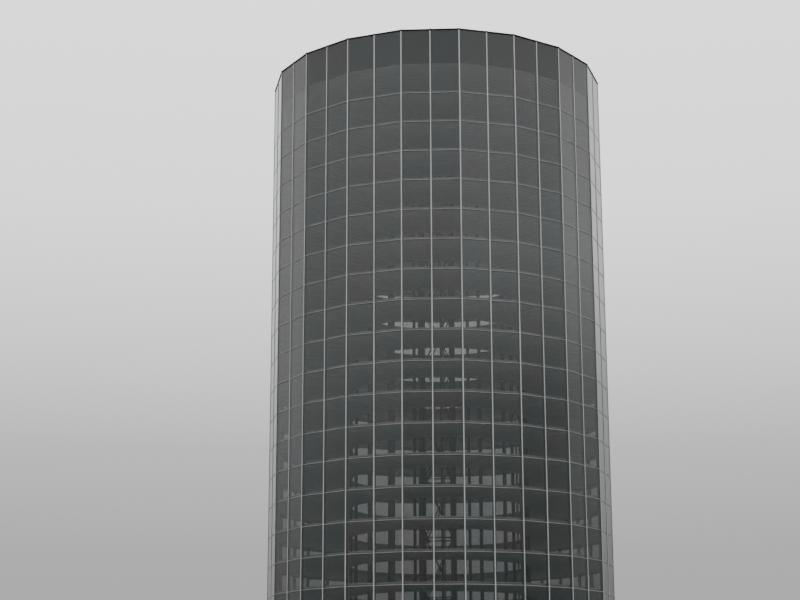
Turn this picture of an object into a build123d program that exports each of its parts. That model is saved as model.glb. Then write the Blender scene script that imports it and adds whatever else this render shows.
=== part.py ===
from build123d import *
from math import atan2, cos, degrees, hypot, radians, tan
import os

# Glass parking tower with stacked ring decks round an open lift shaft, as a 1:10 model.
# Sizes are millimetres of the model. The origin is the centre of the base at ground level,
# +Z is up, and the middle of one glass face looks along -Y.

# Plan
face_count = 19
corner_radius = 1200.0  # axis to the middle of a corner cap
deck_depth = 540.0  # length of a parking bay, from its outer to its inner edge

# Storeys
storey_count = 20
storey_pitch = 205.0
base_row = 240.0  # ground to the first joint in the glass
top_row = 460.0  # last joint to the rim

# Curtain wall, from the outside in
cap_width = 8.0
cap_depth = 2.0
strip_height = 4.0
strip_thickness = 1.0
glass_thickness = 3.0
glass_gap = 3.0  # open joint between two panes, under a cap
mullion_width = 10.0
mullion_depth = 16.0

# Decks
deck_thickness = 18.0
deck_joint = 4.0  # open joint between two neighbouring bays
deck_rise = 1.0  # underside of a deck over the middle of its joint in the glass

# Base, roof and rim
slab_thickness = 20.0
curb_height = 30.0
roof_thickness = 25.0
parapet_height = 200.0  # top of the roof to the rim
band_thickness = 6.0
band_drop = 15.0  # how far the attic band hangs under the roof
coping_height = 10.0
edge_overhang = 2.0  # how far the base and the coping reach past the caps
rim_joint = 1.0  # open joint between two curb, band or coping lengths

# Shaft posts and lift mast
post_width = 18.0
mast_width = 214.0  # between the centres of the mast posts
mast_post_width = 16.0
mast_bar = 8.0
storeys_per_panel = 2

# What follows from these
half_angle = 180.0 / face_count
slope = tan(radians(half_angle))
total_height = base_row + storey_count * storey_pitch + top_row
joint_levels = [base_row + storey_pitch * step for step in range(storey_count + 1)]
strip_outer = (corner_radius - cap_depth / 2) * cos(radians(half_angle))
cap_outer = strip_outer + cap_depth
edge_outer = cap_outer + edge_overhang
glass_outer = strip_outer - strip_thickness
glass_inner = glass_outer - glass_thickness
deck_outer = glass_inner - mullion_depth
deck_inner = deck_outer - deck_depth
wall_foot = slab_thickness + curb_height
wall_head = total_height - coping_height
roof_top = total_height - parapet_height
roof_under = roof_top - roof_thickness
band_inner = deck_outer - band_thickness


def around(piece, offset=0.0):
    """Copies of a piece on every face, turned about the axis of the tower."""
    step = 360.0 / face_count
    return [Rot(0, 0, offset + step * turn) * piece for turn in range(face_count)]


def from_corner(apothem):
    """Radius of the corner of a ring whose flat sides lie at this apothem."""
    return apothem / cos(radians(half_angle))


def face_length(outer, inner, joint, bottom, height):
    """One mitred length of a ring, on the front face, with half a joint at each end."""
    back = joint / 2 / cos(radians(half_angle))
    outer_half = outer * slope - back
    inner_half = inner * slope - back
    plan = Polyline(
        (-outer_half, -outer),
        (outer_half, -outer),
        (inner_half, -inner),
        (-inner_half, -inner),
        close=True,
    )
    return Pos(0, 0, bottom) * extrude(make_face(plan), amount=height)


def upright(width, outer, inner, bottom, top):
    """A straight upright of the wall, on the front, between two distances from the axis."""
    middle = -(outer + inner) / 2
    box = Box(width, outer - inner, top - bottom)
    return Pos(0, middle, (bottom + top) / 2) * box


def tower_plan(apothem):
    """The plan of the tower, with its flat sides at this apothem."""
    return RegularPolygon(apothem, face_count, major_radius=False, rotation=half_angle - 90)


def polygon_plate(apothem, bottom, height):
    """A full plate with the plan of the tower."""
    return Pos(0, 0, bottom) * extrude(tower_plan(apothem), amount=height)


def strip_ring(level):
    """The cover strip that runs round the tower over one joint of the glass."""
    plan = tower_plan(strip_outer) - tower_plan(glass_outer)
    return Pos(0, 0, level - strip_height / 2) * extrude(plan, amount=strip_height)


def glass_pane(side):
    """One tall run of glass between a corner and the middle of the front face."""
    far = glass_inner * slope - glass_gap / 2
    near = glass_gap / 2
    width = far - near
    box = Box(width, glass_thickness, wall_head - wall_foot)
    middle = -(glass_outer + glass_inner) / 2
    return Pos(side * (near + far) / 2, middle, (wall_head + wall_foot) / 2) * box


def corner_mullion():
    """The mullion behind a corner, with its front edges on the two panes."""
    front = from_corner(glass_inner) - mullion_width / 2 * slope
    return upright(mullion_width, front, from_corner(deck_outer), wall_foot, wall_head)


def middle_mullion():
    return upright(mullion_width, glass_inner, deck_outer, wall_foot, wall_head)


def corner_cap():
    inner = from_corner(strip_outer)
    return upright(cap_width, inner + cap_depth, inner, wall_foot, wall_head)


def middle_cap():
    return upright(cap_width, cap_outer, strip_outer, wall_foot, wall_head)


def shaft_post():
    """A post of the lift shaft, with its outer edges on the ends of two bays."""
    outer = from_corner(deck_inner) - post_width / 2 * slope
    return upright(post_width, outer, outer - post_width, slab_thickness, roof_under)


def mast_posts():
    height = roof_under - slab_thickness
    middle = slab_thickness + height / 2
    post = Box(mast_post_width, mast_post_width, height)
    half = mast_width / 2
    corners = [(half, half), (-half, half), (-half, -half), (half, -half)]
    return [Pos(x, y, middle) * post for x, y in corners]


def mast_lattice():
    """The rails and crossed braces of the mast's front, fused where they meet."""
    clear = mast_width - mast_post_width
    rails = joint_levels[::storeys_per_panel]
    lattice = Pos(0, 0, rails[0]) * Box(clear, mast_bar, mast_bar)
    for below, above in zip(rails, rails[1:]):
        rise = above - below
        length = hypot(clear, rise) + 2 * mast_bar
        lean = degrees(atan2(clear, rise))
        brace = Box(mast_bar, mast_bar, length)
        crossed = Rot(0, lean, 0) * brace + Rot(0, -lean, 0) * brace
        crossed = crossed & Box(clear, mast_bar, rise)
        lattice += Pos(0, 0, (below + above) / 2) * crossed
        lattice += Pos(0, 0, above) * Box(clear, mast_bar, mast_bar)
    return Pos(0, -mast_width / 2, 0) * lattice


def write(name, pieces):
    """One STEP file for a node, with its solids side by side."""
    solids = [solid for piece in pieces for solid in piece.solids()]
    export_step(Compound(solids), f"parts/{name}.step")


os.makedirs("parts", exist_ok=True)

# Base
write("base_slab", [polygon_plate(edge_outer, 0, slab_thickness)])
curb = face_length(edge_outer, deck_outer, rim_joint, slab_thickness, curb_height)
write("base_curb", around(curb))

# Ring decks, one bay to a face
for number, level in enumerate(joint_levels, start=1):
    bay = face_length(deck_outer, deck_inner, deck_joint, level + deck_rise, deck_thickness)
    write(f"deck_{number:02d}", around(bay))

# Curtain wall
write("corner_mullions", around(corner_mullion(), half_angle))
write("middle_mullions", around(middle_mullion()))
write("glass_panes", around(glass_pane(-1)) + around(glass_pane(1)))
write("cover_strips", [strip_ring(level) for level in joint_levels])
write("corner_caps", around(corner_cap(), half_angle))
write("middle_caps", around(middle_cap()))

# Roof and rim
write("roof_deck", [polygon_plate(band_inner, roof_under, roof_thickness)])
band_bottom = roof_under - band_drop
band = face_length(deck_outer, band_inner, rim_joint, band_bottom, wall_head - band_bottom)
write("attic_band", around(band))
coping = face_length(edge_outer, band_inner, rim_joint, wall_head, coping_height)
write("coping", around(coping))

# Lift shaft and mast
write("shaft_posts", around(shaft_post(), half_angle))
write("mast_posts", mast_posts())
front = mast_lattice()
write("mast_front", [front])
write("mast_right", [Rot(0, 0, 90) * front])
write("mast_back", [Rot(0, 0, 180) * front])
write("mast_left", [Rot(0, 0, 270) * front])
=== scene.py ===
import bmesh
import bpy
import math
import random
from mathutils import Matrix, Vector


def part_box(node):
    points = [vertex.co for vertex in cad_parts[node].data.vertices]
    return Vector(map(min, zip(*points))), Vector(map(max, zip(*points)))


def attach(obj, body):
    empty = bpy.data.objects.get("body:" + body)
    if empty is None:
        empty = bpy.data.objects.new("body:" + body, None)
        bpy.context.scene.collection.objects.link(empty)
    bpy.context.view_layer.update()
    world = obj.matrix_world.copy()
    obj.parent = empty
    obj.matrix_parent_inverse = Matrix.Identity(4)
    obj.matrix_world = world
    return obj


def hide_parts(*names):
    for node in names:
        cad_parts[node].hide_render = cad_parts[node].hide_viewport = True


# Glass parking tower at 1:10, in metres. The CAD nodes are the frame, and this script dresses them.

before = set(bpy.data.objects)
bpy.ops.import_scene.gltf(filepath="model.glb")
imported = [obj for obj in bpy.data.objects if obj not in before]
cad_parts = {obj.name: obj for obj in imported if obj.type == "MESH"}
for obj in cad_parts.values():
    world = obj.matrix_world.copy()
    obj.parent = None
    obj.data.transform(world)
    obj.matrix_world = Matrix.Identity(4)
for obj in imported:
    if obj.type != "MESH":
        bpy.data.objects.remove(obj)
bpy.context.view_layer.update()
print("loaded", len(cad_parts), "nodes")

# The tower's own measures, as the frame has them
tower = {
    "faces": 19,
    "storeyPitch": 0.205,
    "firstJoint": 0.240,  # ground to the lowest joint in the glass
    "joints": 21,
    "deckDepth": 0.540,
    "deckJoint": 0.004,  # open joint between two bays
    "glassThickness": 0.003,
    "glassGap": 0.003,
    "mullionWidth": 0.010,
    "postWidth": 0.018,
    "mastSides": 4,
    "mastWidth": 0.214,  # between the middles of the mast's posts
    "mastPostWidth": 0.016,
    "mastBar": 0.008,
    "storeysPerPanel": 2,
}
faceStep = 2 * math.pi / tower["faces"]
halfStep = faceStep / 2
slope = math.tan(halfStep)
jointLevels = [tower["firstJoint"] + tower["storeyPitch"] * n for n in range(tower["joints"])]


def lowest(node):
    return Vector(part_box(node)[0])


def highest(node):
    return Vector(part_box(node)[1])


def reach(node):
    # from the axis to the front of a node
    return -lowest(node).y


def toCorner(distance):
    # the distance of a corner from the axis, where the faces stand this far from it
    return distance / math.cos(halfStep)


glassOuter = reach("glass_panes")
glassInner = glassOuter - tower["glassThickness"]
stripOuter = reach("cover_strips")
capOuter = reach("middle_caps")
edgeOuter = reach("base_slab")
deckOuter = reach("deck_01")
deckInner = deckOuter - tower["deckDepth"]
deckFoot = lowest("deck_01").z
deckTop = highest("deck_01").z
wallFoot = lowest("glass_panes").z
wallHead = highest("glass_panes").z


# Camera

cameraSettings = {
    "distance": 12.113,  # from the tower's axis
    "bearing": 1.866,  # degrees to the right of the front face's middle
    "height": 0.143,
    "turn": 1.296,  # degrees that the lens points left of the axis
    "pitch": 14.152,
    "roll": 0.175,
    "lens": 77.66,
    "sensor": 36.0,
    "nearest": 0.1,
    "farthest": 200.0,
}


def makeCamera(settings):
    bearing = math.radians(settings["bearing"])
    heading = bearing + math.radians(settings["turn"])
    pitch = math.radians(settings["pitch"])
    roll = math.radians(settings["roll"])
    place = Vector((math.sin(bearing), -math.cos(bearing), 0)) * settings["distance"]
    place.z = settings["height"]
    flat = math.cos(pitch)
    forward = Vector((-math.sin(heading) * flat, math.cos(heading) * flat, math.sin(pitch)))
    level = forward.cross(Vector((0, 0, 1))).normalized()
    above = level.cross(forward)
    right = level * math.cos(roll) - above * math.sin(roll)
    up = level * math.sin(roll) + above * math.cos(roll)
    data = bpy.data.cameras.new("camera")
    data.lens = settings["lens"]
    data.sensor_width = settings["sensor"]
    data.sensor_fit = "HORIZONTAL"
    data.clip_start = settings["nearest"]
    data.clip_end = settings["farthest"]
    camera = bpy.data.objects.new("camera", data)
    rows = [(right[i], up[i], -forward[i], place[i]) for i in range(3)]
    camera.matrix_world = Matrix((*rows, (0, 0, 0, 1)))
    bpy.context.scene.collection.objects.link(camera)
    bpy.context.scene.camera = camera


makeCamera(cameraSettings)
print("camera placed")


# Materials

def hexColour(code):
    # sRGB hex to a linear colour with alpha
    channels = [int(code[i:i + 2], 16) / 255 for i in (1, 3, 5)]
    linear = [c / 12.92 if c <= 0.04045 else ((c + 0.055) / 1.055) ** 2.4 for c in channels]
    return (*linear, 1.0)


def addNode(tree, kind, inputs, stops=(), **settings):
    # one node: its inputs are values or other nodes' outputs, and a ramp has stops
    node = tree.nodes.new(kind)
    for name, value in settings.items():
        setattr(node, name, value)
    for name, value in inputs.items():
        if isinstance(value, bpy.types.NodeSocket):
            tree.links.new(value, node.inputs[name])
        else:
            node.inputs[name].default_value = value
    if stops:
        elements = node.color_ramp.elements
        while len(elements) < len(stops):
            elements.new(1.0)
        for element, (place, colour) in zip(elements, stops):
            element.position = place
            element.color = colour
    return node


patterns = {  # width of what a finish shows, in millimetres of the model
    "dieLine": 1.1,  # real die lines are far too fine to show
    "dieRun": 330,
    "dustStreak": 55,
    "dustRun": 450,
    "orangePeel": 2.4,  # about 0.2 at this scale, drawn coarser to show
    "paintStreak": 24,
    "paintRun": 280,
    "deckZinc": 6,  # zinc crystals are about 1 at this scale, drawn coarser to show
    "postZinc": 8,
    "weathering": 110,
    "concreteCloud": 170,
    "pore": 4,  # 1 to 2 at this scale, drawn coarser to show
    "mineralChip": 1.4,  # about 0.1 at this scale, drawn coarser to show
    "puddle": 330,
    "rubberAge": 33,
    "glassWave": 250,  # a slow bow of the whole pane
}


def perMetre(width):
    # a pattern's scale, from its width
    return 1000 / patterns[width]


def lengthwise(width, run):
    # the scale of a pattern that is drawn out along the height
    return (perMetre(width), perMetre(width), perMetre(run))


def newMaterial(name, constants):
    # a shader with these numbers on its own sockets, and the place that its patterns read
    material = bpy.data.materials.new(name)
    material.use_nodes = True
    tree = material.node_tree
    shader = tree.nodes["Principled BSDF"]
    for socket, value in constants.items():
        shader.inputs[socket].default_value = value
    place = addNode(tree, "ShaderNodeTexCoord", {}).outputs["Object"]
    return material, tree, shader, place


def anodisedAluminium(name, dark, light):
    # extruded and satin anodised: soft grey sheen, die lines along the length, runs of rain dust
    material, tree, shader, place = newMaterial(name, {"Metallic": 0.85})
    along = addNode(tree, "ShaderNodeMapping", {"Vector": place, "Scale": lengthwise("dieLine", "dieRun")})
    lines = addNode(tree, "ShaderNodeTexNoise", {"Vector": along.outputs[0], "Scale": 1.0, "Detail": 3.0})
    dusty = addNode(tree, "ShaderNodeMapping",
                    {"Vector": place, "Scale": lengthwise("dustStreak", "dustRun")})
    dust = addNode(tree, "ShaderNodeTexNoise", {"Vector": dusty.outputs[0], "Scale": 1.0, "Detail": 6.0})
    tone = addNode(tree, "ShaderNodeValToRGB", {"Fac": dust.outputs["Fac"]},
                   [(0.32, hexColour(dark)), (0.68, hexColour(light))])
    satin = addNode(tree, "ShaderNodeMapRange",
                    {"Value": dust.outputs["Fac"], "To Min": 0.52, "To Max": 0.36})
    relief = addNode(tree, "ShaderNodeBump",
                     {"Height": lines.outputs["Fac"], "Strength": 0.12, "Distance": 0.0002})
    tree.links.new(tone.outputs["Color"], shader.inputs["Base Color"])
    tree.links.new(satin.outputs["Result"], shader.inputs["Roughness"])
    tree.links.new(relief.outputs["Normal"], shader.inputs["Normal"])
    return material


def sprayedCoat(name, dark, light, roughness, gloss):
    # polyester powder or iron oxide paint: even tone, fine orange peel and faint rain streaks. With no
    # gloss it is dead matt, and dark at a graze too
    material, tree, shader, place = newMaterial(name, {
        "Roughness": roughness, "Specular IOR Level": 2 * gloss, "Coat Weight": gloss,
        "Coat Roughness": 0.35})
    streaky = addNode(tree, "ShaderNodeMapping",
                      {"Vector": place, "Scale": lengthwise("paintStreak", "paintRun")})
    streaks = addNode(tree, "ShaderNodeTexNoise", {"Vector": streaky.outputs[0], "Scale": 1.0, "Detail": 5.0})
    tone = addNode(tree, "ShaderNodeValToRGB", {"Fac": streaks.outputs["Fac"]},
                   [(0.3, hexColour(dark)), (0.7, hexColour(light))])
    peel = addNode(tree, "ShaderNodeTexNoise",
                   {"Vector": place, "Scale": perMetre("orangePeel"), "Detail": 2.0})
    relief = addNode(tree, "ShaderNodeBump",
                     {"Height": peel.outputs["Fac"], "Strength": 0.12, "Distance": 0.0003})
    tree.links.new(tone.outputs["Color"], shader.inputs["Base Color"])
    tree.links.new(relief.outputs["Normal"], shader.inputs["Normal"])
    return material


def galvanisedSteel(name, dark, light, crystal, shine):
    # hot-dip galvanised: crystals of zinc in several greys, duller where it has weathered white
    material, tree, shader, place = newMaterial(name, {"Metallic": shine})
    crystals = addNode(tree, "ShaderNodeTexVoronoi", {"Vector": place, "Scale": perMetre(crystal)})
    grey = addNode(tree, "ShaderNodeSeparateColor", {"Color": crystals.outputs["Color"]})
    weather = addNode(tree, "ShaderNodeTexNoise",
                      {"Vector": place, "Scale": perMetre("weathering"), "Detail": 6.0})
    blend = addNode(tree, "ShaderNodeMath", {0: grey.outputs[0], 1: weather.outputs["Fac"]},
                    operation="MULTIPLY")
    tone = addNode(tree, "ShaderNodeValToRGB", {"Fac": blend.outputs[0]},
                   [(0.05, hexColour(dark)), (0.55, hexColour(light))])
    dull = addNode(tree, "ShaderNodeMapRange",
                   {"Value": weather.outputs["Fac"], "To Min": 0.38, "To Max": 0.68})
    relief = addNode(tree, "ShaderNodeBump",
                     {"Height": grey.outputs[0], "Strength": 0.1, "Distance": 0.0002})
    tree.links.new(tone.outputs["Color"], shader.inputs["Base Color"])
    tree.links.new(dull.outputs["Result"], shader.inputs["Roughness"])
    tree.links.new(relief.outputs["Normal"], shader.inputs["Normal"])
    return material


def castConcrete():
    # board-faced concrete: cloudy greys with open pores, darker towards the foot
    material, tree, shader, place = newMaterial("castConcrete", {"Roughness": 0.88})
    clouds = addNode(tree, "ShaderNodeTexNoise",
                     {"Vector": place, "Scale": perMetre("concreteCloud"), "Detail": 8.0, "Roughness": 0.6})
    tone = addNode(tree, "ShaderNodeValToRGB", {"Fac": clouds.outputs["Fac"]},
                   [(0.25, hexColour("#7A7873")), (0.55, hexColour("#918F89")), (0.8, hexColour("#A19F98"))])
    height = addNode(tree, "ShaderNodeSeparateXYZ", {"Vector": place})
    # the tone darkens towards the foot, over the lowest 0.02
    footDarkening = addNode(tree, "ShaderNodeMapRange",
                   {"Value": height.outputs["Z"], "From Max": 0.02, "To Min": 0.7, "To Max": 1.0})
    darkenedTone = addNode(tree, "ShaderNodeVectorMath", {0: tone.outputs["Color"], "Scale": footDarkening.outputs["Result"]},
                  operation="SCALE")
    pores = addNode(tree, "ShaderNodeTexVoronoi", {"Vector": place, "Scale": perMetre("pore")})
    pits = addNode(tree, "ShaderNodeMapRange", {"Value": pores.outputs["Distance"], "From Max": 0.25})
    relief = addNode(tree, "ShaderNodeBump",
                     {"Height": pits.outputs["Result"], "Strength": 0.35, "Distance": 0.0008})
    tree.links.new(darkenedTone.outputs[0], shader.inputs["Base Color"])
    tree.links.new(relief.outputs["Normal"], shader.inputs["Normal"])
    return material


def roofMembrane():
    # rolled roofing felt with mineral chips: dull grey, speckled, with pale dried puddles
    material, tree, shader, place = newMaterial("mineralRoofingFelt", {"Roughness": 0.92})
    chips = addNode(tree, "ShaderNodeTexNoise",
                    {"Vector": place, "Scale": perMetre("mineralChip"), "Detail": 2.0})
    puddles = addNode(tree, "ShaderNodeTexNoise",
                      {"Vector": place, "Scale": perMetre("puddle"), "Detail": 4.0})
    mix = addNode(tree, "ShaderNodeMath", {0: chips.outputs["Fac"], 1: puddles.outputs["Fac"]},
                  operation="ADD")
    tone = addNode(tree, "ShaderNodeValToRGB", {"Fac": mix.outputs[0]},
                   [(0.7, hexColour("#56595B")), (1.0, hexColour("#65686A"))])
    # underneath no felt lies, and the roof shows its pale grey sheet
    facing = addNode(tree, "ShaderNodeNewGeometry", {}).outputs["Normal"]
    upward = addNode(tree, "ShaderNodeSeparateXYZ", {"Vector": facing}).outputs["Z"]
    felted = addNode(tree, "ShaderNodeMath", {0: upward, 1: -0.5}, operation="GREATER_THAN")
    colour = addNode(tree, "ShaderNodeMix",  # its sockets 6 and 7 and its output 2 are the colours
                     {0: felted.outputs[0], 6: hexColour("#D2D5D3"), 7: tone.outputs["Color"]},
                     data_type="RGBA")
    relief = addNode(tree, "ShaderNodeBump",
                     {"Height": chips.outputs["Fac"], "Strength": 0.4, "Distance": 0.0005})
    tree.links.new(colour.outputs[2], shader.inputs["Base Color"])
    tree.links.new(relief.outputs["Normal"], shader.inputs["Normal"])
    return material


def sealRubber():
    # extruded synthetic rubber: near black and dull, greyed a little by the weather
    material, tree, shader, place = newMaterial("extrudedRubberSeal", {"Roughness": 0.72})
    age = addNode(tree, "ShaderNodeTexNoise",
                  {"Vector": place, "Scale": perMetre("rubberAge"), "Detail": 3.0})
    tone = addNode(tree, "ShaderNodeValToRGB", {"Fac": age.outputs["Fac"]},
                   [(0.3, hexColour("#1B1C1C")), (0.7, hexColour("#2A2B2B"))])
    tree.links.new(tone.outputs["Color"], shader.inputs["Base Color"])
    return material


glassLook = {
    "tints": [(0.1, "#072A29"), (0.5, "#112B1F"), (0.9, "#252529")],  # by the pane's own tone
    "ior": 1.9,  # two faces of a double pane read as one stronger mirror
    "headOn": 0.40,  # how much one face of a pane stops, seen head on
    "graze": 1.0,
    "steepness": 5.0,  # power of the slant that the stop grows with
    "full": 0.58,  # that power of the slant at which it stops everything
}


def floatGlass(look):
    # insulating float glass: a dim mirror head on with the decks behind it, a bright one at a graze, and
    # each pane its own tint
    material, tree, shader, place = newMaterial("insulatingFloatGlass", {
        "Roughness": 0.02, "IOR": look["ior"], "Coat Weight": 1.0, "Coat Roughness": 0.01,
        "Coat IOR": look["ior"]})
    pane = addNode(tree, "ShaderNodeAttribute", {}, attribute_name="paneTone", attribute_type="GEOMETRY")
    tone = addNode(tree, "ShaderNodeValToRGB", {"Fac": pane.outputs["Fac"]},
                   [(share, hexColour(tint)) for share, tint in look["tints"]])
    waves = addNode(tree, "ShaderNodeTexNoise",
                    {"Vector": place, "Scale": perMetre("glassWave"), "Detail": 1.0})
    relief = addNode(tree, "ShaderNodeBump",
                     {"Height": waves.outputs["Fac"], "Strength": 0.2, "Distance": 0.002})
    # a pane stops more with the slant of the view, alike from both of its sides
    slant = addNode(tree, "ShaderNodeLayerWeight", {"Blend": 0.5}).outputs["Facing"]
    mirror = addNode(tree, "ShaderNodeMath", {0: slant, 1: look["steepness"]}, operation="POWER")
    stop = addNode(tree, "ShaderNodeMapRange", {
        "Value": mirror.outputs[0], "From Max": look["full"], "To Min": look["headOn"],
        "To Max": look["graze"]})
    tree.links.new(tone.outputs["Color"], shader.inputs["Base Color"])
    tree.links.new(relief.outputs["Normal"], shader.inputs["Normal"])
    tree.links.new(stop.outputs["Result"], shader.inputs["Alpha"])
    return material


capFinish = anodisedAluminium("anodisedAluminiumCap", "#C3C6C5", "#DADCDB")
stripFinish = anodisedAluminium("anodisedAluminiumStrip", "#9DA09F", "#B4B7B6")
nosingFinish = anodisedAluminium("anodisedAluminiumNosing", "#DCDEDD", "#E9EAE9")
mullionFinish = sprayedCoat("powderCoatMullion", "#8E9291", "#9DA09E", roughness=0.45, gloss=0.25)
bandFinish = sprayedCoat("powderCoatAtticPanel", "#1A1D1F", "#222527", roughness=0.75, gloss=0.05)
copingFinish = sprayedCoat("powderCoatCoping", "#222527", "#2D3032", roughness=0.80, gloss=0.0)
mastFinish = sprayedCoat("ironOxidePaint", "#45494A", "#515556", roughness=0.55, gloss=0.15)
deckFinish = galvanisedSteel("galvanisedDecking", "#C6CAC8", "#DDE0DE", "deckZinc", shine=0.1)
postFinish = galvanisedSteel("galvanisedSection", "#6A6F6E", "#8A8E8C", "postZinc", shine=0.35)
concreteFinish = castConcrete()
roofFinish = roofMembrane()
sealFinish = sealRubber()
glassFinish = floatGlass(glassLook)

keptFinishes = {  # the CAD nodes that show as they are
    "base_slab": concreteFinish,
    "corner_mullions": mullionFinish,
    "middle_mullions": mullionFinish,
    "roof_deck": roofFinish,
    "attic_band": bandFinish,
    "mast_front": mastFinish,
    "mast_right": mastFinish,
    "mast_back": mastFinish,
    "mast_left": mastFinish,
}
for name, finish in keptFinishes.items():
    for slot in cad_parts[name].material_slots:
        slot.material = finish
print("materials made")


# Ways of making that the pieces share

def goRound(work, offset=0.0, sides=tower["faces"]):
    # turns what is there by the offset and copies it to every other side
    parts = work.verts[:] + work.edges[:] + work.faces[:]
    centre = (0, 0, 0)
    bmesh.ops.rotate(work, cent=centre, matrix=Matrix.Rotation(offset, 3, "Z"), verts=work.verts)
    copies = sides - 1
    step = 2 * math.pi / sides
    bmesh.ops.spin(work, geom=parts, cent=centre, axis=(0, 0, 1), angle=copies * step, steps=copies,
                   use_duplicate=True)


def goUp(work, levels):
    # copies what is there, made for the first level, to the others
    parts = work.verts[:] + work.edges[:] + work.faces[:]
    for level in levels[1:]:
        made = bmesh.ops.duplicate(work, geom=parts)["geom"]
        verts = [item for item in made if isinstance(item, bmesh.types.BMVert)]
        bmesh.ops.translate(work, vec=(0, 0, level - levels[0]), verts=verts)


def pullOut(work, face, way):
    # extrudes a lone face into a closed length
    grown = bmesh.ops.extrude_face_region(work, geom=[face])["geom"]
    far = [item for item in grown if isinstance(item, bmesh.types.BMVert)]
    bmesh.ops.translate(work, vec=way, verts=far)
    return far


def addUpright(work, plan, bottom, top):
    # a straight upright from its plan, given as (across, distance from the axis) on the front face
    face = work.faces.new([work.verts.new((across, -distance, bottom)) for across, distance in plan])
    pullOut(work, face, (0, 0, top - bottom))


def addLength(work, section, left, right):
    # a level length on the front face. The section is (distance from the axis, height), and each end
    # is (share of the face's slope, shift): share 1 or -1 mitres it to a corner, 0 cuts it square
    near = []
    for distance, height in section:
        near.append(work.verts.new((left[0] * distance * slope + left[1], -distance, height)))
    far = pullOut(work, work.faces.new(near), (1, 0, 0))
    for vert in far:
        vert.co.x = right[0] * -vert.co.y * slope + right[1]


def mitred(joint, inset=0.0):
    # both ends of a length that leaves this open joint at the corners, drawn in by the inset
    back = joint / 2 / math.cos(halfStep) + inset
    return (-1, back), (1, -back)


def squared(middle, half):
    # both ends of a short length that is cut square
    return (0, middle - half), (0, middle + half)


def addBetweenMullions(work, section, clear=0.0):
    # two lengths on the front face, from its middle mullion to the mullions at its corners
    side = tower["mullionWidth"] / 2 + clear
    beside = side / math.cos(halfStep)
    addLength(work, section, (0, side), (1, -beside))
    addLength(work, section, (-1, beside), (0, -side))


def rectangle(inner, outer, low, high):
    return [(outer, low), (outer, high), (inner, high), (inner, low)]


def addBolt(work, centre, settings, axis="X"):
    # a hexagon head that looks out of the front face, or across it with the axis Y
    radius = settings["boltRadius"]
    matrix = Matrix.Translation(centre) @ Matrix.Rotation(math.pi / 2, 4, axis)
    bmesh.ops.create_cone(work, cap_ends=True, segments=6, radius1=radius,
                          radius2=radius * settings["boltTaper"], depth=settings["boltHeight"],
                          matrix=matrix)


def makeObject(name, work, material):
    mesh = bpy.data.meshes.new(name)
    work.to_mesh(mesh)
    work.free()
    mesh.materials.append(material)
    made = bpy.data.objects.new(name, mesh)
    bpy.context.scene.collection.objects.link(made)
    return made


def finishPiece(name, work, material, slot, *nodes):
    # a piece that rides on the tower and stands for the nodes, where there are any
    bmesh.ops.recalc_face_normals(work, faces=work.faces)
    piece = makeObject(name, work, material)
    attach(piece, "root")
    if nodes:
        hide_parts(*nodes)


# Glass, one pane to a half face and storey

glassPanes = {
    "tilt": 0.0006,  # the most that a pane's setting turns it, in radians
    "seed": 7,
}


def makeGlassWall(settings):
    draw = random.Random(settings["seed"])
    work = bmesh.new()
    tone = work.verts.layers.float.new("paneTone")
    levels = [wallFoot] + jointLevels + [wallHead]
    gap = tower["glassGap"]
    faceHalf = glassInner * slope
    centre = (0, 0, 0)
    for face in range(tower["faces"]):
        turn = Matrix.Rotation(face * faceStep, 3, "Z")
        for side in (-1, 1):
            for low, high in zip(levels, levels[1:]):
                verts = bmesh.ops.create_cube(work, size=1.0)["verts"]
                size = (faceHalf - gap, tower["glassThickness"], high - low - gap)
                bmesh.ops.scale(work, vec=size, verts=verts)
                for axis in ("X", "Z"):
                    setting = Matrix.Rotation(draw.uniform(-1, 1) * settings["tilt"], 3, axis)
                    bmesh.ops.rotate(work, cent=centre, matrix=setting, verts=verts)
                place = (side * faceHalf / 2, -(glassOuter + glassInner) / 2, (low + high) / 2)
                bmesh.ops.translate(work, vec=place, verts=verts)
                bmesh.ops.rotate(work, cent=centre, matrix=turn, verts=verts)
                value = draw.random()
                for vert in verts:
                    vert[tone] = value
    finishPiece("glazing", work, glassFinish, "facade_glass", "glass_panes")
    print("glass wall made")


makeGlassWall(glassPanes)


# Seals between the panes, with lips that show beside the caps and strips

seals = {
    "lip": 0.0004,  # how far a lip stands on the glass
    "besideCap": 0.0050,  # half width of the upright seals
    "overStrip": 0.0026,  # from a joint's middle to the top of its seal
    "underStrip": 0.0052,  # and to its foot, which hangs below the strip
}


def makeSeals(settings):
    half = tower["glassGap"] / 2
    front = glassOuter + settings["lip"]
    level = jointLevels[0]
    top = level + settings["overStrip"]
    foot = level - settings["underStrip"]
    section = [(glassInner, level - half), (glassOuter, level - half), (glassOuter, foot), (front, foot),
               (front, top), (glassOuter, top), (glassOuter, level + half), (glassInner, level + half)]
    work = bmesh.new()
    addLength(work, section, *mitred(tower["glassGap"]))
    goUp(work, jointLevels)
    wide = settings["besideCap"]
    plan = [(-half, glassInner), (-half, glassOuter), (-wide, glassOuter), (-wide, front),
            (wide, front), (wide, glassOuter), (half, glassOuter), (half, glassInner)]
    addUpright(work, plan, wallFoot, wallHead)
    goRound(work)
    finishPiece("pane_seals", work, sealFinish, "attic_panel")
    # at a corner the lips fold back along the two faces
    inner = toCorner(glassOuter)
    outer = inner + settings["lip"]
    fold = wide * slope
    plan = [(-wide, inner - fold), (0, inner), (wide, inner - fold), (wide, outer - fold), (0, outer),
            (-wide, outer - fold)]
    work = bmesh.new()
    addUpright(work, plan, wallFoot, wallHead)
    goRound(work, halfStep)
    finishPiece("corner_seals", work, sealFinish, "attic_panel")
    print("seals made")


makeSeals(seals)


# Cover strips and caps

coverStrips = {
    "half": 0.0020,  # half the height of a strip
}


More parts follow.
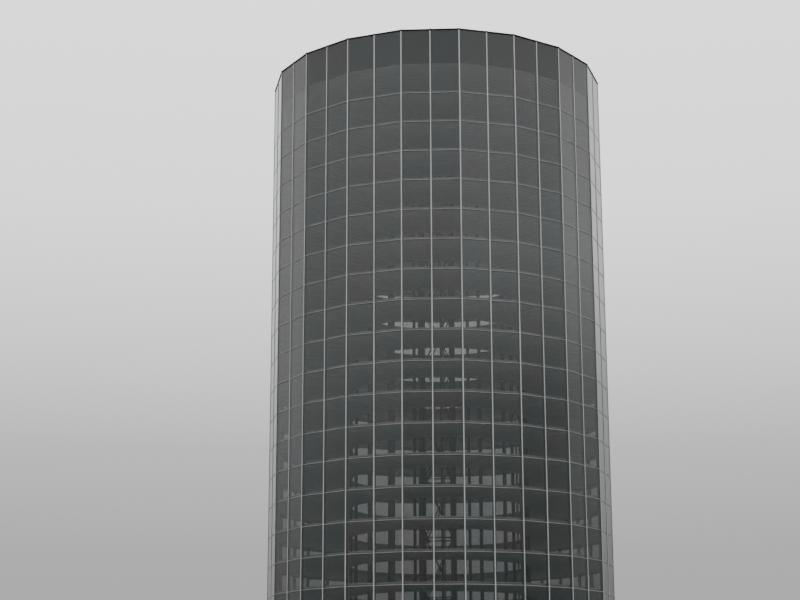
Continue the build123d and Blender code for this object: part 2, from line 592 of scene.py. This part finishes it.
def makeStrips(settings):
    # pressed strips, chamfered along both front edges by half their thickness
    half = settings["half"]
    cut = (stripOuter - glassOuter) / 2
    back = stripOuter - cut
    level = jointLevels[0]
    section = [(glassOuter, level - half), (back, level - half), (stripOuter, level - half + cut),
               (stripOuter, level + half - cut), (back, level + half), (glassOuter, level + half)]
    work = bmesh.new()
    addLength(work, section, *mitred(0.0))
    goUp(work, jointLevels)
    goRound(work)
    finishPiece("strip_lengths", work, stripFinish, "anodised_strip", "cover_strips")


caps = {
    "half": 0.0040,  # half the width of a cap
    "chamfer": 0.0008,
    "joint": 0.0006,  # open joint between two lengths of cap
    "storeysPerLength": 2,
}


def makeCaps(settings, name, node, back, offset):
    # pressed caps in lengths, chamfered at the front, over a joint of the glass
    half = settings["half"]
    cut = settings["chamfer"]
    front = back + capOuter - stripOuter
    plan = [(-half, back), (-half, front - cut), (cut - half, front), (half - cut, front),
            (half, front - cut), (half, back)]
    levels = [wallFoot] + jointLevels[1::settings["storeysPerLength"]] + [wallHead]
    gap = settings["joint"] / 2
    work = bmesh.new()
    for low, high in zip(levels, levels[1:]):
        addUpright(work, plan, low + gap, high - gap)
    goRound(work, offset)
    finishPiece(name, work, capFinish, "anodised_cap", node)


makeStrips(coverStrips)
makeCaps(caps, "middle_cap_lengths", "middle_caps", stripOuter, 0.0)
makeCaps(caps, "corner_cap_lengths", "corner_caps", toCorner(stripOuter), halfStep)
print("strips and caps made")


# Transoms behind the level joints, and the anchors that hold the mullions on the decks

transoms = {
    "half": 0.0025,  # half the height of a transom
    "depth": 0.009,
}


def makeTransoms(settings):
    half = settings["half"]
    level = jointLevels[0]
    section = rectangle(glassInner - settings["depth"], glassInner, level - half, level + half)
    work = bmesh.new()
    addBetweenMullions(work, section)
    goUp(work, jointLevels)
    goRound(work)
    finishPiece("transoms", work, mullionFinish, "mullion_paint")


anchors = {
    "leg": 0.0065,  # along the deck's edge
    "arm": 0.0090,  # along the mullion
    "thickness": 0.0012,
    "low": 0.004,  # from the underside of the deck to the foot of an anchor
    "high": 0.012,  # and to its top
    "boltRadius": 0.0012,
    "boltHeight": 0.0008,
    "boltTaper": 0.92,  # a head's front over its back
}


def makeAnchors(settings, name, back, fall, offset):
    # two angles at each mullion and deck. The fall is how the deck's edge runs back beside a corner
    thick = settings["thickness"]
    side = tower["mullionWidth"] / 2
    leg = side + settings["leg"]
    tip = back + settings["arm"]
    nearEdge = back - side * fall
    farEdge = back - leg * fall
    plan = [(side, nearEdge), (leg, farEdge), (leg, farEdge + thick), (side + thick, nearEdge + thick),
            (side + thick, tip), (side, tip)]
    low = deckFoot + settings["low"]
    high = deckFoot + settings["high"]
    middle = (leg + side + thick) / 2
    boltFoot = back - middle * fall + thick
    work = bmesh.new()
    for hand in (-1, 1):
        addUpright(work, [(hand * across, distance) for across, distance in plan], low, high)
        addBolt(work, (hand * middle, -(boltFoot + settings["boltHeight"] / 2), (low + high) / 2), settings)
    goUp(work, jointLevels)
    goRound(work, offset)
    finishPiece(name, work, postFinish, "galvanised_steel")


makeTransoms(transoms)
makeAnchors(anchors, "middle_anchors", deckOuter, 0.0, 0.0)
makeAnchors(anchors, "corner_anchors", toCorner(deckOuter), slope, halfStep)
print("transoms and anchors made")


# Decks: each bay is a framed sheet with joists and ribs under it and two wheel tracks on it

deckBay = {
    "web": 0.0015,
    "flange": 0.008,
    "sheet": 0.0020,
    "sideBar": 0.005,
    "joists": (-0.055, 0.0, 0.055),
    "joistHalf": 0.0015,
    "ribs": 9,
    "ribHalf": 0.0020,
    "ribDepth": 0.0035,
    "trackMiddle": 0.075,  # from the middle of a bay to the middle of a wheel track
    "trackHalf": 0.0125,
    "trackThickness": 0.0012,
}


def channel(outer, inner, low, high, settings):
    # a channel on its side, from the face that it turns outwards to its open side
    way = math.copysign(1, inner - outer)
    web = settings["web"]
    tip = outer + way * settings["flange"]
    back = outer + way * web
    return [(outer, low), (outer, high), (tip, high), (tip, high - web), (back, high - web),
            (back, low + web), (tip, low + web), (tip, low)]


def spread(low, high, count):
    # the middles of so many equal parts
    return [low + (high - low) * (number + 0.5) / count for number in range(count)]


def makeDecks(settings):
    web = settings["web"]
    top = deckTop - settings["trackThickness"]
    under = top - settings["sheet"]
    inner = deckInner + settings["flange"]
    outer = deckOuter - settings["flange"]
    ends = mitred(tower["deckJoint"])
    sheetEnds = mitred(tower["deckJoint"], settings["sideBar"])
    work = bmesh.new()
    addLength(work, channel(deckOuter, deckInner, deckFoot, deckTop, settings), *ends)
    addLength(work, channel(deckInner, deckOuter, deckFoot, deckTop, settings), *ends)
    side = rectangle(deckInner + web, deckOuter - web, deckFoot + web, deckTop - web)
    addLength(work, side, ends[0], sheetEnds[0])
    addLength(work, side, sheetEnds[1], ends[1])
    addLength(work, rectangle(inner, outer, under, top), *sheetEnds)
    joist = rectangle(deckInner + web, deckOuter - web, deckFoot + web, under)
    for place in settings["joists"]:
        addLength(work, joist, *squared(place, settings["joistHalf"]))
    half = settings["ribHalf"]
    for middle in spread(inner, outer, settings["ribs"]):
        rib = rectangle(middle - half, middle + half, under - settings["ribDepth"], under)
        addLength(work, rib, *sheetEnds)
    for hand in (-1, 1):
        place = hand * settings["trackMiddle"]
        addLength(work, rectangle(inner, outer, top, deckTop), *squared(place, settings["trackHalf"]))
    goRound(work)
    for number, level in enumerate(jointLevels, start=1):
        storey = work.copy()
        bmesh.ops.translate(storey, vec=(0, 0, level - jointLevels[0]), verts=storey.verts)
        name = f"deck_frame_{number:02d}"
        finishPiece(name, storey, deckFinish, "deck_steel", f"deck_{number:02d}")
    work.free()
    print("decks made")


makeDecks(deckBay)


deckNosing = {
    "rise": 0.0042,  # height of the sloping face
    "proud": 0.0020,  # how far it stands out from the deck's edge
    "foot": 0.0008,
    "clear": 0.0008,  # from the mullions
}


def makeNosings(settings):
    # a pale angle along the top of each deck's outer edge, between the mullions
    low = deckTop - settings["rise"]
    proud = deckOuter + settings["proud"]
    foot = low - settings["foot"]
    work = bmesh.new()
    section = [(deckOuter, foot), (proud, foot), (proud, low), (deckOuter, deckTop)]
    addBetweenMullions(work, section, settings["clear"])
    goUp(work, jointLevels)
    goRound(work)
    finishPiece("deck_nosings", work, nosingFinish, "deck_steel")
    print("deck nosings made")


makeNosings(deckNosing)


# Shaft posts, rolled sections with spliced lengths

shaftPosts = {
    "flange": 0.0022,
    "web": 0.0016,
    "firstSplice": 2,  # joints in the glass that are passed over before the first splice
    "storeysPerLength": 4,
    "spliceHalf": 0.022,
    "spliceThickness": 0.0011,
    "boltRadius": 0.0016,
    "boltHeight": 0.0011,
    "boltTaper": 1.0,
    "boltPlaces": (-0.016, -0.007, 0.007, 0.016),
}


def makeShaftPosts(settings):
    half = tower["postWidth"] / 2
    outer = toCorner(deckInner) - half * slope
    inner = outer - tower["postWidth"]
    web = settings["web"] / 2
    outerFlange = outer - settings["flange"]
    innerFlange = inner + settings["flange"]
    plan = [(-half, outer), (half, outer), (half, outerFlange), (web, outerFlange), (web, innerFlange),
            (half, innerFlange), (half, inner), (-half, inner), (-half, innerFlange), (-web, innerFlange),
            (-web, outerFlange), (-half, outerFlange)]
    work = bmesh.new()
    addUpright(work, plan, lowest("shaft_posts").z, highest("shaft_posts").z)
    goRound(work, halfStep)
    finishPiece("rolled_posts", work, postFinish, "galvanised_steel", "shaft_posts")
    # splice plates on the web, between the decks
    thick = settings["spliceThickness"]
    middle = (outer + inner) / 2
    edge = half - settings["flange"] - thick
    front = web + thick
    work = bmesh.new()
    for level in jointLevels[settings["firstSplice"]::settings["storeysPerLength"]]:
        height = level + tower["storeyPitch"] / 2
        for hand in (-1, 1):
            plate = [(hand * web, middle - edge), (hand * web, middle + edge), (hand * front, middle + edge),
                     (hand * front, middle - edge)]
            addUpright(work, plate, height - settings["spliceHalf"], height + settings["spliceHalf"])
            across = hand * (front + settings["boltHeight"] / 2)
            for place in settings["boltPlaces"]:
                addBolt(work, (across, -middle, height + place), settings, "Y")
    goRound(work, halfStep)
    finishPiece("post_splices", work, postFinish, "galvanised_steel")
    print("shaft posts made")


makeShaftPosts(shaftPosts)


# Lift mast, with gussets where the braces meet the posts and each other

mastParts = {
    "chamfer": 0.0016,
    "gusset": 0.024,
    "gussetBolt": 0.006,  # from the rail's middle
    "crossHalf": 0.009,  # half the width of the plate where two braces cross
    "plateThickness": 0.0012,
    "boltRadius": 0.0014,
    "boltHeight": 0.0009,
    "boltTaper": 0.92,
}


def makeMast(settings):
    half = tower["mastPostWidth"] / 2
    place = tower["mastWidth"] / 2
    cut = half - settings["chamfer"]
    corners = [(half, cut), (cut, half), (-cut, half), (-half, cut), (-half, -cut), (-cut, -half),
               (cut, -half), (half, -cut)]
    work = bmesh.new()
    plan = [(across + place, distance + place) for across, distance in corners]
    addUpright(work, plan, lowest("mast_posts").z, highest("mast_posts").z)
    goRound(work, sides=tower["mastSides"])
    finishPiece("mast_tubes", work, mastFinish, "mast_paint", "mast_posts")
    back = place + tower["mastBar"] / 2
    front = back + settings["plateThickness"]
    boltMiddle = -(front + settings["boltHeight"] / 2)
    size = settings["gusset"] / 2
    middle = place - half - size
    cross = settings["crossHalf"]
    rails = jointLevels[::tower["storeysPerPanel"]]
    work = bmesh.new()
    for number, level in enumerate(rails):
        for hand in (-1, 1):
            addLength(work, rectangle(back, front, level - size, level + size),
                      *squared(hand * middle, size))
            for up in (-1, 1):
                centre = (hand * middle, boltMiddle, level + up * settings["gussetBolt"])
                addBolt(work, centre, settings)
        if number:
            height = (level + rails[number - 1]) / 2
            addLength(work, rectangle(back, front, height - cross, height + cross), *squared(0, cross))
            addBolt(work, (0, boltMiddle, height), settings)
    goRound(work, sides=tower["mastSides"])
    finishPiece("mast_gussets", work, mastFinish, "mast_paint")
    print("mast made")


makeMast(mastParts)


# Rim: a pressed coping with straps over its joints, and felt on the roof with its laps and fillet

rim = {
    "lip": 0.0012,  # the straps stand this far on the coping
    "fall": 0.0020,  # the coping's top falls inwards
    "turnDown": 0.0020,
    "joint": 0.001,
    "strapHalf": 0.006,
}


def makeCoping(settings):
    low = lowest("coping").z
    high = highest("coping").z
    inner = reach("roof_deck")
    lip = settings["lip"]
    outer = edgeOuter - lip
    top = high - lip
    sheet = [(outer, low), (outer, top), (inner + lip, top - settings["fall"]), (inner + lip, low)]
    foot = low + settings["turnDown"]
    strap = [(edgeOuter, foot), (edgeOuter, high), (inner, high - settings["fall"]), (inner, foot)]
    half = settings["strapHalf"]
    work = bmesh.new()
    addLength(work, sheet, *mitred(settings["joint"]))
    addLength(work, strap, *squared(0, half))
    goRound(work)
    finishPiece("pressed_coping", work, copingFinish, "coping_paint", "coping")
    left, right = mitred(0.0)
    work = bmesh.new()
    addLength(work, strap, (1, -half), right)
    addLength(work, strap, left, (-1, half))
    goRound(work)
    finishPiece("corner_straps", work, copingFinish, "coping_paint")


soffit = {
    "ribs": 14,
    "ribHalf": 0.0035,
    "ribDepth": 0.0060,
}


def makeSoffit(settings):
    # ribs under the roof sheet, between the attic band and the shaft
    top = lowest("roof_deck").z
    half = settings["ribHalf"]
    work = bmesh.new()
    for middle in spread(deckInner, reach("roof_deck"), settings["ribs"]):
        rib = rectangle(middle - half, middle + half, top - settings["ribDepth"], top)
        addLength(work, rib, *mitred(0.0))
    goRound(work)
    finishPiece("roof_ribs", work, deckFinish, "deck_steel")


roofFelt = {
    "roll": 0.100,  # width of a roll
    "lapWidth": 0.010,
    "lapThickness": 0.0006,
    "fillet": 0.022,
}


def makeRoofFelt(settings):
    # laps as long as the round roof leaves room for between the fillets
    top = highest("roof_deck").z
    outer = reach("roof_deck")
    fillet = settings["fillet"]
    thick = settings["lapThickness"]
    count = int((outer - settings["lapWidth"]) / settings["roll"])
    work = bmesh.new()
    for number in range(-count, count + 1):
        across = number * settings["roll"]
        half = math.sqrt(outer ** 2 - (abs(across) + settings["lapWidth"]) ** 2) - fillet
        verts = bmesh.ops.create_cube(work, size=1.0)["verts"]
        bmesh.ops.scale(work, vec=(settings["lapWidth"], 2 * half, thick), verts=verts)
        bmesh.ops.translate(work, vec=(across, 0, top + thick / 2), verts=verts)
    finishPiece("felt_laps", work, roofFinish, "roof_sheet")
    work = bmesh.new()
    addLength(work, [(outer, top), (outer, top + fillet), (outer - fillet, top)], *mitred(0.0))
    goRound(work)
    finishPiece("felt_fillet", work, roofFinish, "roof_sheet")


makeCoping(rim)
makeRoofFelt(roofFelt)
makeSoffit(soffit)
print("rim and roof made")


# Base curb with a chamfered top edge

baseCurb = {
    "chamferDown": 0.004,
    "chamferBack": 0.001,
    "joint": 0.001,
}


def makeCurb(settings):
    low = lowest("base_curb").z
    high = highest("base_curb").z
    section = [(edgeOuter, low), (edgeOuter, high - settings["chamferDown"]),
               (edgeOuter - settings["chamferBack"], high), (deckOuter, high), (deckOuter, low)]
    work = bmesh.new()
    addLength(work, section, *mitred(settings["joint"]))
    goRound(work)
    finishPiece("chamfered_curb", work, concreteFinish, "concrete", "base_curb")
    print("curb made")


makeCurb(baseCurb)


# Studio

studio = {
    "floor": "#C9C8C5",
    "floorSize": 60.0,
    "floorSides": 64,
    "brightest": 2.0,
    "blueShare": 1.01,  # blue over red and green
    # brightness of the backdrop and of the room that the glass mirrors, by the sine of the height
    "backdrop": [(0.0, 0.48), (0.10, 0.54), (0.16, 0.72), (0.22, 1.12), (0.30, 1.65), (0.45, 1.95),
                 (1.0, 1.6)],
    "roomLeft": [(0.0, 0.34), (0.08, 0.42), (0.14, 0.60), (0.20, 0.84), (0.27, 0.98), (0.34, 1.08),
                 (0.40, 0.95), (0.6, 1.5), (1.0, 1.9)],
    "roomRight": [(0.0, 0.26), (0.08, 0.33), (0.15, 0.50), (0.19, 0.58), (0.23, 0.92), (0.27, 1.24),
                  (0.34, 1.22), (0.40, 1.0), (0.6, 1.5), (1.0, 1.9)],
    # share of that light by how far round a wall stands, from straight in front to straight behind
    "round": [(0.0, 0.64), (0.015, 0.64), (0.105, 0.73), (0.38, 0.66), (0.70, 0.75), (0.95, 0.92)],
}


def greyStops(settings, name):
    # nearly grey stops of a ramp, as shares of the brightest
    stops = []
    for place, brightness in settings[name]:
        level = brightness / settings["brightest"]
        stops.append((place, (level, level, level * settings["blueShare"], 1)))
    return stops


def makeFloor(settings):
    work = bmesh.new()
    bmesh.ops.create_circle(work, cap_ends=True, segments=settings["floorSides"],
                            radius=settings["floorSize"])
    material = newMaterial("paleFloor", {"Base Color": hexColour(settings["floor"]), "Roughness": 0.8})[0]
    floor = makeObject("floor", work, material)


def makeStudio(settings):
    # the backdrop is what shows behind the tower, the room is what lights it and shows in the glass
    world = bpy.data.worlds.new("softRoom")
    bpy.context.scene.world = world
    world.use_nodes = True
    tree = world.node_tree
    background = tree.nodes["Background"]
    way = addNode(tree, "ShaderNodeTexCoord", {}).outputs["Generated"]
    parts = addNode(tree, "ShaderNodeSeparateXYZ", {"Vector": way})
    lights = {}
    for name in ("backdrop", "roomLeft", "roomRight"):
        ramp = addNode(tree, "ShaderNodeValToRGB", {"Fac": parts.outputs["Z"]}, greyStops(settings, name))
        lights[name] = ramp.outputs["Color"]
    # the bearing alone, from -1 to 1 across and from front to back
    level = addNode(tree, "ShaderNodeCombineXYZ", {"X": parts.outputs["X"], "Y": parts.outputs["Y"]})
    bearing = addNode(tree, "ShaderNodeVectorMath", {0: level.outputs[0]}, operation="NORMALIZE")
    sides = addNode(tree, "ShaderNodeSeparateXYZ", {"Vector": bearing.outputs[0]})
    across = addNode(tree, "ShaderNodeMapRange", {"Value": sides.outputs["X"], "From Min": -1})
    behind = addNode(tree, "ShaderNodeMapRange", {"Value": sides.outputs["Y"], "From Min": -1})
    room = addNode(tree, "ShaderNodeMix",
                   {0: across.outputs[0], 6: lights["roomLeft"], 7: lights["roomRight"]}, data_type="RGBA")
    share = addNode(tree, "ShaderNodeValToRGB", {"Fac": behind.outputs[0]}, greyStops(settings, "round"))
    tone = addNode(tree, "ShaderNodeMath", {0: share.outputs["Color"], 1: settings["brightest"]},
                   operation="MULTIPLY")
    shaded = addNode(tree, "ShaderNodeVectorMath", {0: room.outputs[2], "Scale": tone.outputs[0]},
                     operation="SCALE")
    seen = addNode(tree, "ShaderNodeLightPath", {}).outputs["Is Camera Ray"]
    mix = addNode(tree, "ShaderNodeMix", {0: seen, 6: shaded.outputs[0], 7: lights["backdrop"]},
                  data_type="RGBA")
    tree.links.new(mix.outputs[2], background.inputs["Color"])
    background.inputs["Strength"].default_value = settings["brightest"]


makeFloor(studio)
makeStudio(studio)
print("studio made")
